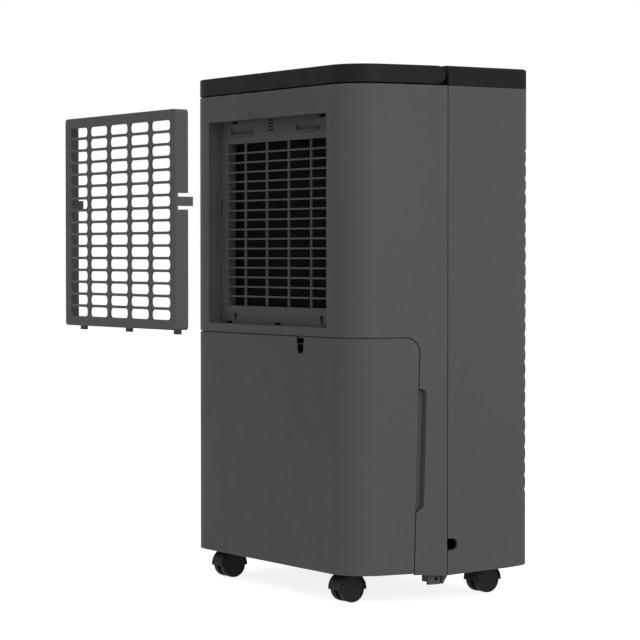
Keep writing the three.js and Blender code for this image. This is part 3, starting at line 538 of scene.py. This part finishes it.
def grip_void():
    """The recess slopes in from its front edge and is deepest beside the tank."""
    def wedge(side):
        rings = []
        for z in (GRIP_LOW - 5, GRIP_HIGH + 5):
            seam = at(TANK_SEAM_BOTTOM + SEAM_LEAN * (z - BOTTOM))
            face = half_at(seam - GRIP_WIDTH)
            line = [
                (face + 6, seam - GRIP_WIDTH - 0.4),
                (face, seam - GRIP_WIDTH - 0.4),
                (face - 7, seam - GRIP_WIDTH + 1.6),
                (face - GRIP_FALL, seam + 1),
                (face - GRIP_FALL, seam + 8),
                (face + 6, seam + 8),
            ]
            rings.append([(side * x, y, z) for x, y in line])
        return loft(rings)
    return common(grip_room(0, -3, GRIP_REACH), join(wedge(1), wedge(-1)))


def under(lip):
    """Everything below a lip line of (depth, z) points."""
    line = [(at(depth), z) for depth, z in lip]
    corners = [(line[0][0], -50), (line[-1][0], -50)]
    return prism([*line, *reversed(corners)], -FAR, FAR, "x")


def rear_shell():
    skin = shell(0, WALL, BOTTOM - 4, TOP)
    behind_seam = block((-FAR, FAR), (REAR_LOW.y, REAR + 5), (0, TOP + 5))
    common(skin, behind_seam)
    opening = prism(rectangle((-BAY_HALF, BAY_HALF), (BAY_BOTTOM, BAY_TOP), 2), at(WALL + 3), REAR + 3, "y")
    lip = [(TANK_SEAM_BOTTOM - 10, 31.4), (TANK_SEAM_TOP + 1, 30.8), (109, 28.9), (SEAM_DEPTH + 2, 28.2)]
    scoop = loft([[(31.5 + 8.5 * math.cos(a) * s, REAR + 2 - 4.3 * t, BAY_TOP + 0.5 + 12 * math.sin(a) * s)
                   for a in [2 * math.pi * k / 32 for k in range(32)]]
                  for s, t in ((1.0, 0.0), (0.97, 0.35), (0.85, 0.65), (0.6, 0.88), (0.25, 0.98))])
    cut(skin, opening, tank_side(GAP), grip_void(), under(lip), scoop)
    pocket = grip_room(1.8, WALL * 0.6, GRIP_REACH + 1.8)
    cut(pocket, grip_void(), tank_side(GAP))
    join(skin, pocket)
    ledge = shell(WALL * 0.6, 2.9, TANK_HIGH.z + GAP + 0.1, TANK_HIGH.z + 4)
    skirt = shell(3, 1.4, TANK_HIGH.z - 1.8, TANK_HIGH.z + 4)
    within = block((-FAR, FAR), (at(TANK_SEAM_TOP - 6), REAR + 5), (0, TOP))
    join(skin, common(join(ledge, skirt), within))
    place(soften(skin, 0.6), "rear_shell")


def front_shell():
    """Waves run round the front and die away on the corners."""
    waves, pitch, dip = 25, 15.9, 1.0
    wave_top = TOP - 68
    wave_rows = 14

    def depth_at(z):
        turns = (wave_top - z) / pitch
        if not 0 <= turns <= waves:
            return 0.0
        return dip * abs(math.cos(math.pi * turns)) ** 7

    edge_y = FRONT_HIGH.y + 0.5
    # From the seam on the right side round the front to the seam on the left side.
    front = sorted([p for p in plan(0, 3) if p.y < edge_y - 0.7],
                   key=lambda p: math.atan2(p.x, -(p.y - SEAM)))
    spread = []
    for a, b in zip(front, front[1:]):
        count = max(1, round((b - a).length / 14))
        spread += [a.lerp(b, k / count) for k in range(count)]
    spread.append(front[-1])
    edge_x = -spread[0].x
    start = [Vector((-edge_x + 0.6, edge_y)), Vector((-edge_x + 0.18, edge_y - 0.18))]
    line = start + spread + [Vector((-p.x, p.y)) for p in reversed(start)]

    inward = []
    for i, p in enumerate(line):
        a, b = line[max(0, i - 1)], line[min(len(line) - 1, i + 1)]
        run = (b - a).normalized()
        inward.append(Vector((-run.y, run.x)))
    share = [max(0.0, min(1.0, (n.y - 0.05) / 0.5)) for n in inward]

    low = BOTTOM - 2
    rows = [(low, 0.5), (low + 0.2, 0.15), (low + 0.7, 0.0)]
    step = pitch / wave_rows
    z = low + 3
    while z < TOP - 3:
        rows.append((z, 0.0))
        z += step if z > wave_top - waves * pitch - step and z < wave_top + step else 6
    rows += [(TOP - 0.7, 0.0), (TOP - 0.2, 0.15), (TOP, 0.5)]

    def lip(y):
        behind = REAR - y - SEAM_DEPTH
        return -2 + 0.045 * min(behind, 53) + 3.3 * max(0.0, (behind - 53) / 60) ** 2

    outer, inner = [], []
    for z, inset in rows:
        sink = max(0.0, 1 - (z - low) / 40)
        dips = depth_at(z)
        outer.append([(p.x + n.x * (inset + dips * s), p.y + n.y * (inset + dips * s), z + sink * lip(p.y))
                      for p, n, s in zip(line, inward, share)])
        inner.append([(p.x + n.x * (WALL + 1.1), p.y + n.y * (WALL + 1.1), z + sink * lip(p.y))
                      for p, n in zip(line, inward)])
    count, levels = len(line), len(rows)
    vertices = [v for row in outer for v in row] + [v for row in inner for v in row]
    size = count * levels
    faces = []
    for r in range(levels - 1):
        for k in range(count - 1):
            a = r * count + k
            faces.append([a, a + 1, a + count + 1, a + count])
            faces.append([size + a, size + a + count, size + a + count + 1, size + a + 1])
        for k in (0, count - 1):
            a = r * count + k
            faces.append([a, a + count, size + a + count, size + a])
    for r in (0, levels - 1):
        for k in range(count - 1):
            a = r * count + k
            faces.append([a, a + 1, size + a + 1, size + a])
    piece = mesh_object("front", vertices, faces)
    centre = BOTTOM + 30.2
    mouth = rectangle((at(SEAM_DEPTH + 13), at(SEAM_DEPTH - 10)), (centre - 6.5, centre + 6.5), 6.4)
    cut(piece, prism(mouth, -HALF - 5, -HALF + 12, "x"))
    place(piece, "front_shell")


def water_tank():
    skin = common(shell(0, TANK_WALL, BOTTOM, TANK_HIGH.z), tank_side(0))
    tub_top = span("tank_lid")[1].z - 2.9
    floor = BOTTOM + 6.5
    depth = 72
    tub = common(prism(plan(TANK_WALL / 2), floor, tub_top), block((-FAR, FAR), (at(depth), REAR), (0, TOP)))
    room = common(
        prism(plan(TANK_WALL), floor + TANK_WALL, tub_top + 5),
        block((-FAR, FAR), (at(depth - TANK_WALL), REAR + 5), (0, TOP)),
    )
    notch_x, notch_low, half = -74, TANK_HIGH.z - 19, 9
    corners = [
        (notch_x - half * 0.72, notch_low, 6),
        (notch_x + half * 0.72, notch_low, 6),
        (notch_x + half, TANK_HIGH.z + 3, 0),
        (notch_x - half, TANK_HIGH.z + 3, 0),
    ]
    notch = prism(rounded(corners, 0, 12), at(TANK_WALL + 2), REAR + 3, "y")
    bar = slab((notch_x - half, notch_x + half), (TANK_WALL + 1.2, TANK_WALL + 2.4),
               (TANK_HIGH.z - 8.6, TANK_HIGH.z - 7.4))
    ends = both_sides(lambda s: slab((notch_x + s * half, notch_x + s * (half + 2)), (1, TANK_WALL + 2.4),
                                     (TANK_HIGH.z - 8.6, TANK_HIGH.z - 7.4)))
    join(skin, tub)
    cut(skin, room, notch)
    join(skin, bar, ends)
    place(soften(skin, 0.7), "water_tank")


# ---- Filter bay ----
COIL_LOW, COIL_HIGH = span("evaporator")
WINDOW_HALF = -COIL_LOW.x - 6
WINDOW_LOW = COIL_LOW.z - 1
WINDOW_HIGH = COIL_HIGH.z + 1


def filter_bay():
    back = BAY_DEPTH - BAY_PANEL
    reach = BAY_HALF + WALL
    tray = slab((-reach, reach), (WALL + 0.4, BAY_DEPTH), (BAY_LOW.z, BAY_HIGH.z))
    room = prism(rectangle((-BAY_HALF, BAY_HALF), (BAY_BOTTOM, BAY_TOP), 2), at(back), REAR, "y")
    window = slab((-WINDOW_HALF, WINDOW_HALF), (back - 5, BAY_DEPTH + 5), (WINDOW_LOW, WINDOW_HIGH))
    cut(tray, room, window)
    collar = slab((-WINDOW_HALF - 2, WINDOW_HALF + 2), (BAY_DEPTH - 1, back + COLLAR_DEPTH),
                  (WINDOW_LOW - 2, WINDOW_HIGH + 2))
    cut(collar, slab((-WINDOW_HALF, WINDOW_HALF), (0, 60), (WINDOW_LOW, WINDOW_HIGH)))
    join(tray, collar)

    def ledge(x0, x1):
        bar = slab((x0, x1), (back - 2.2, back + 1), (BAY_TOP - 16.8, BAY_TOP - 15.4))
        return join(bar, slab((x0, x0 + 1.2), (back - 2.2, back + 1), (BAY_TOP - 15.8, BAY_TOP - 11.8)))

    def dip(x0, x1):
        low = BAY_TOP - 15.2
        return prism([(at(back - 1), low), (at(back - 1), low + 11), (at(back), low + 11), (at(back + 3), low)],
                     x0, x1, "x")

    ledges = [ledge(55, 104), ledge(-88, -41)]
    join(tray, ledges)
    cut(tray, [dip(56.2, 104), dip(-86.8, -41)])
    slots = [slab((9, 20), (back - 2, BAY_DEPTH + 2), (BAY_TOP - 2.1 - 3.7 * i, BAY_TOP - 0.4 - 3.7 * i))
             for i in range(4)]
    catches = both_sides(
        lambda s: slab((s * 95 - 6.5, s * 95 + 6.5), (back - 5, BAY_DEPTH + 2), (BAY_TOP - 2.8, BAY_TOP + 1.9)))
    wells = both_sides(lambda s: prism(
        rounded([(s * SCREW_X - 4.8, BAY_BOTTOM + 3.2, 4.7), (s * SCREW_X + 4.8, BAY_BOTTOM + 3.2, 4.7),
                 (s * SCREW_X, BAY_BOTTOM + 17, 2.4)], 0, 12), at(back + 3), at(back - 2), "y"))
    screw_holes = both_sides(
        lambda s: rod((s * SCREW_X, at(back - 1), SCREW_Z), (s * SCREW_X, at(BAY_DEPTH + 2), SCREW_Z), 3.7))
    floor_slots = [slab((x - 7.2, x + 6.4), (back - 5, BAY_DEPTH + 2), (BAY_LOW.z - 4, BAY_BOTTOM + 2.8))
                   for x in TABS]
    tongue_holes = both_sides(
        lambda s: slab((s * (BAY_HALF - 4.8), s * (BAY_HALF - 0.1)), (back - 2, BAY_DEPTH + 2),
                       (TONGUE_Z - 6, TONGUE_Z + 6)))
    guides = both_sides(
        lambda s: slab((s * (BAY_HALF - 0.4), s * (BAY_HALF + 0.5)), (back - 7, back - 5),
                       (BAY_BOTTOM + 81, BAY_BOTTOM + 154)))
    grooves = both_sides(
        lambda s: slab((s * (BAY_HALF - 1), s * (BAY_HALF + 1.4)), (back - 4.8, back - 3),
                       (BAY_BOTTOM + 81, BAY_BOTTOM + 154)))
    join(tray, guides)
    stops = both_sides(lambda s: slab((s * (BAY_HALF - 2), s * (BAY_HALF + 1.8)), (back - 6, back - 3),
                                      (BAY_BOTTOM + 77, BAY_BOTTOM + 80.5)))
    cut(tray, slots, catches, wells, screw_holes, floor_slots, tongue_holes, grooves, stops)
    bars = [slab((x - 1.2, x + 1.2), (back, back + 2.2), (WINDOW_LOW - 1, WINDOW_HIGH + 1))
            for x in [COLUMN * step for step in (-1.5, -0.5, 0.5, 1.5)]]
    pitch = (WINDOW_HIGH - WINDOW_LOW) / GRILLE_ROWS
    ribs = [slab((-WINDOW_HALF - 1, WINDOW_HALF + 1), (back + 0.2, back + 2),
                 (WINDOW_LOW + pitch * i - 0.95, WINDOW_LOW + pitch * i + 0.95)) for i in range(1, GRILLE_ROWS)]
    grille = soften(join(bars[0], bars[1:], ribs), 0.35)
    place(tray, "filter_bay")
    add(grille, "intake_grille", "cabinet", "casing_plastic")

    for side, name in ((1, "bay_screw_left"), (-1, "bay_screw_right")):
        spot = (side * SCREW_X, at(BAY_DEPTH + 1.8), SCREW_Z)
        head = turned([(2, -5.5), (2, 0), (3.4, 0.1), (3.4, 0.9), (2.6, 1.5)], spot, "y", 32)
        cross = [block((spot[0] - a, spot[0] + a), (spot[1] + 0.8, spot[1] + 3), (spot[2] - b, spot[2] + b))
                 for a, b in ((1.7, 0.35), (0.35, 1.7))]
        place(cut(head, cross), name)


# ---- Air filter ----
def filter_frame():
    wall = 2.4
    face_y, back_y = FILTER_HIGH.y, FILTER_HIGH.y - 15.5
    half = FILTER_HIGH.x
    low, high = BAY_BOTTOM + 0.6, FILTER_HIGH.z
    top, bottom = high - 11.2, low + 10.6
    bar = 2.9
    pitch = (top - bottom + bar) / FILTER_ROWS
    plate = prism(rectangle((-half, half), (low, high), 4.5), back_y, face_y, "y")
    hollow = prism(rectangle((-half + wall, half - wall), (low + wall, high - wall), 3), back_y - 3,
                   face_y - wall, "y")
    cut(plate, hollow)
    holes = []
    for column in range(FILTER_COLUMNS):
        x = (column - FILTER_COLUMNS // 2) * COLUMN
        for row in range(FILTER_ROWS):
            upper = top - row * pitch
            hole = rectangle((x - 21.2, x + 21.2), (upper - pitch + bar, upper), 4.2, 0, 22.5)
            holes.append(prism(hole, face_y - 10, face_y + 3, "y"))
    cut(plate, holes)
    gap = block((-half - 2, -half + wall + 0.2), (back_y - 3, face_y - 3.2), (TONGUE_Z - 8.7, TONGUE_Z + 8.7))
    cut(plate, gap)
    tongues = both_sides(lambda s: block((s * (half - wall), s * (half - 0.05)), (back_y - 6, face_y - 2),
                                         (TONGUE_Z - 5, TONGUE_Z + 5)))
    tabs = [block((x - 6.4, x + 5.6), (back_y + 0.6, back_y + 3.8), (FILTER_LOW.z, low + 1))
            for x in TABS]
    join(plate, tongues, tabs)
    place(soften(plate, 0.55), "filter_frame")


# ---- Top ----
def carry_handle():
    band = shell(0, 20, BAND_LOW.z, BAND_HIGH.z)
    height = BAND_HIGH.z - BAND_LOW.z
    end = BAND_LOW.y
    side = rounded([(end, BAND_LOW.z, height / 2 - 0.1), (REAR + 5, BAND_LOW.z, 0), (REAR + 5, BAND_HIGH.z, 0),
                    (end, BAND_HIGH.z, height / 2 - 0.1)], 0, 10)
    common(band, prism(side, -FAR, FAR, "x"))
    pin = span("handle_pin_left")
    pin_y, pin_z = (pin[0].y + pin[1].y) / 2, (pin[0].z + pin[1].z) / 2
    bores = both_sides(lambda s: rod((s * 150, pin_y, pin_z), (s * (HALF - 8), pin_y, pin_z), 4.4))
    cut(band, bores)
    place(soften(band, 1.5, 3), "carry_handle")


def front_cover():
    rounding = 3.0
    rings = []
    base = COVER_LOW.z
    arc = [math.radians(a) for a in (0, 18, 36, 54, 72, 90)]
    turn_start = COVER_HIGH.z - rounding
    levels = [(base, 0.0)]
    levels += [(turn_start + rounding * math.sin(a), rounding - rounding * math.cos(a)) for a in arc]
    for z, inset in levels:
        rings.append([(p.x, p.y, z) for p in plan(inset)])
    cover = common(loft(rings), block((-FAR, FAR), (FRONT - 5, COVER_HIGH.y), (0, FAR)))
    room = common(prism(plan(WALL + 0.5), base - 5, COVER_HIGH.z - 3.7),
                  block((-FAR, FAR), (FRONT, COVER_HIGH.y - WALL), (0, FAR)))
    lens_low, lens_high = span("display_lens")
    pocket = block((lens_low.x - 0.4, lens_high.x + 0.4), (lens_low.y - 0.4, lens_high.y + 0.4),
                   (lens_low.z - 0.4, COVER_HIGH.z + 5))
    cut(cover, room, pocket)
    holes = []
    for use in BUTTONS:
        low, high = span(use + "_button")
        x, y = (low.x + high.x) / 2, (low.y + high.y) / 2
        holes.append(rod((x, y, base - 5), (x, y, COVER_HIGH.z + 5), BUTTON_RADIUS + 0.4, 48))
    cut(cover, holes)
    place(soften(cover, 0.45), "front_top_cover")


def buttons():
    for use in BUTTONS:
        low, high = span(use + "_button")
        spot = ((low.x + high.x) / 2, (low.y + high.y) / 2, low.z)
        height = high.z - low.z
        profile = [(8.4, 0), (8.4, 1.3), (BUTTON_RADIUS, 1.5), (BUTTON_RADIUS, height - 0.7),
                   (6.7, height - 0.2), (6.2, height), (3.4, height - 0.35), (3.1, height - 0.35),
                   (2.6, height - 0.42)]
        place(turned(profile, spot, "z", 64), use + "_button")


# ---- Casters ----
def casters():
    for place_name in CORNERS:
        wheels = [span(f"caster_wheel_{side}_{place_name}") for side in ("left", "right")]
        x = (wheels[0][1].x + wheels[1][0].x) / 2
        y = (wheels[0][0].y + wheels[0][1].y) / 2
        hood_top = span("caster_hood_" + place_name)[1].z
        stem_low, stem_high = span("caster_stem_" + place_name)
        stem_y = (stem_low.y + stem_high.y) / 2
        radius, inner, outer = WHEEL_RADIUS, wheels[0][0].x - x, wheels[0][1].x - x
        drum = turned([(17, -outer), (17.7, 0.4 - outer), (18, 1.2 - outer), (18, outer - 1.2),
                       (17.7, outer - 0.4), (17, outer)], (x, y, radius), "x", 72)
        neck = rod((x, stem_y, radius + 6), (x, stem_y, hood_top), 10, 48)
        shape = join(drum, neck)
        common(shape, block((-FAR, FAR), (-FAR, FAR), (radius - 1, hood_top)))
        rooms = both_sides(lambda s: rod((x + s * (inner - 0.5), y, radius), (x + s * (outer + 5), y, radius),
                                         radius + 0.9, 72))
        cut(shape, rooms)
        web = block((x - inner + 0.5, x + inner - 0.5), (y - 7, y + 7), (radius - 7, radius + 6))
        join(shape, web)
        axle = rod((x - 30, y, radius), (x + 30, y, radius), 2.8)
        socket = rod((x, stem_y, radius + 9), (x, stem_y, hood_top + 5), (stem_high.x - stem_low.x) / 2 + 0.15)
        cut(shape, axle, socket)
        place(soften(shape, 0.4), "caster_hood_" + place_name)
        for side, name in ((1, "left"), (-1, "right")):
            profile = [
                (radius - 1.2, inner), (radius - 0.3, inner + 0.3), (radius, inner + 1.2),
                (radius, outer - 1.3), (radius - 0.35, outer - 0.35), (radius - 1.3, outer),
                (radius - 2.2, outer), (radius - 2.6, outer - 0.45),
                (4.5, outer - 0.35), (4.2, outer - 0.1),
            ]
            wheel = turned([(r, side * a) for r, a in profile], (x, y, radius), "x", 72)
            bore = rod((x, y, radius), (x + side * (outer - 2.7), y, radius), 2.8)
            place(cut(wheel, bore), f"caster_wheel_{name}_{place_name}")


# ---- Coils ----
def coil(node):
    low, high = span(node)
    edge = high.x - 7
    count = 110
    step = 2 * (edge - 1) / count
    core = block((-edge, edge), (low.y + 3, high.y - 3), (low.z, high.z))
    fins = [block((-edge + 1 + i * step, -edge + 1.5 + i * step), ys, (low.z, high.z))
            for i in range(count) for ys in ((low.y, low.y + 2.9), (high.y - 2.9, high.y))]
    plates = [block((s * (edge + 0.1), s * (edge + 1.2)), (low.y, high.y), (low.z, high.z)) for s in (-1, 1)]
    plates.append(core)
    vertices, faces = [], []
    for piece in fins + plates:
        base = len(vertices)
        vertices += [v.co.copy() for v in piece.data.vertices]
        faces += [[base + i for i in p.vertices] for p in piece.data.polygons]
        bpy.data.objects.remove(piece)
    place(mesh_object(node, vertices, faces), node)
    rows = 8
    for k in range(rows):
        z = low.z + (high.z - low.z) * (k + 0.5) / rows
        tube = rod((-edge - 2, (low.y + high.y) / 2, z), (edge + 2, (low.y + high.y) / 2, z), 3.5, 16)
        add(tube, f"{node}_tube_{k}", "cabinet", "copper")


def humidity_sensor():
    low, high = span("humidity_sensor")
    case = block((low.x, high.x), (low.y, high.y), (low.z, high.z))
    inside = block((low.x + 1, high.x - 1), (low.y + 1, high.y + 2), (low.z + 1, high.z - 1))
    place(soften(cut(case, inside), 0.3), "humidity_sensor")


REFINED = {
    "top_deck": 0.9, "outlet_grille": 0.4, "display_lens": 0.35, "base_bracket": 0.5, "base_pan": 0.5,
    "tank_bay": 0.4, "tank_lid": 0.4, "tank_float": 1.2, "drain_spout": 0.3, "drip_tray": 0.4,
    "scroll_housing": 0.5, "impeller": 0.25, "control_box": 1.0, "run_capacitor": 1.0, "fan_motor": 0.8,
    "tank_switch": 0.5, "accumulator": 2.0, "compressor": 0.5,
    "handle_pin_left": 0.4, "handle_pin_right": 0.4, "fan_shaft": 0.3, "suction_pipe": 0, "discharge_pipe": 0,
}

studio()
rear_shell()
front_shell()
water_tank()
filter_bay()
filter_frame()
carry_handle()
front_cover()
buttons()
casters()
coil("evaporator")
coil("condenser")
humidity_sensor()
for node, width in REFINED.items():
    place(soften(copy_of(node), width), node)
for node, piece in frame["nodes"].items():
    piece.data.materials.clear()
    piece.data.materials.append(material_for(SLOT_OF[node]))
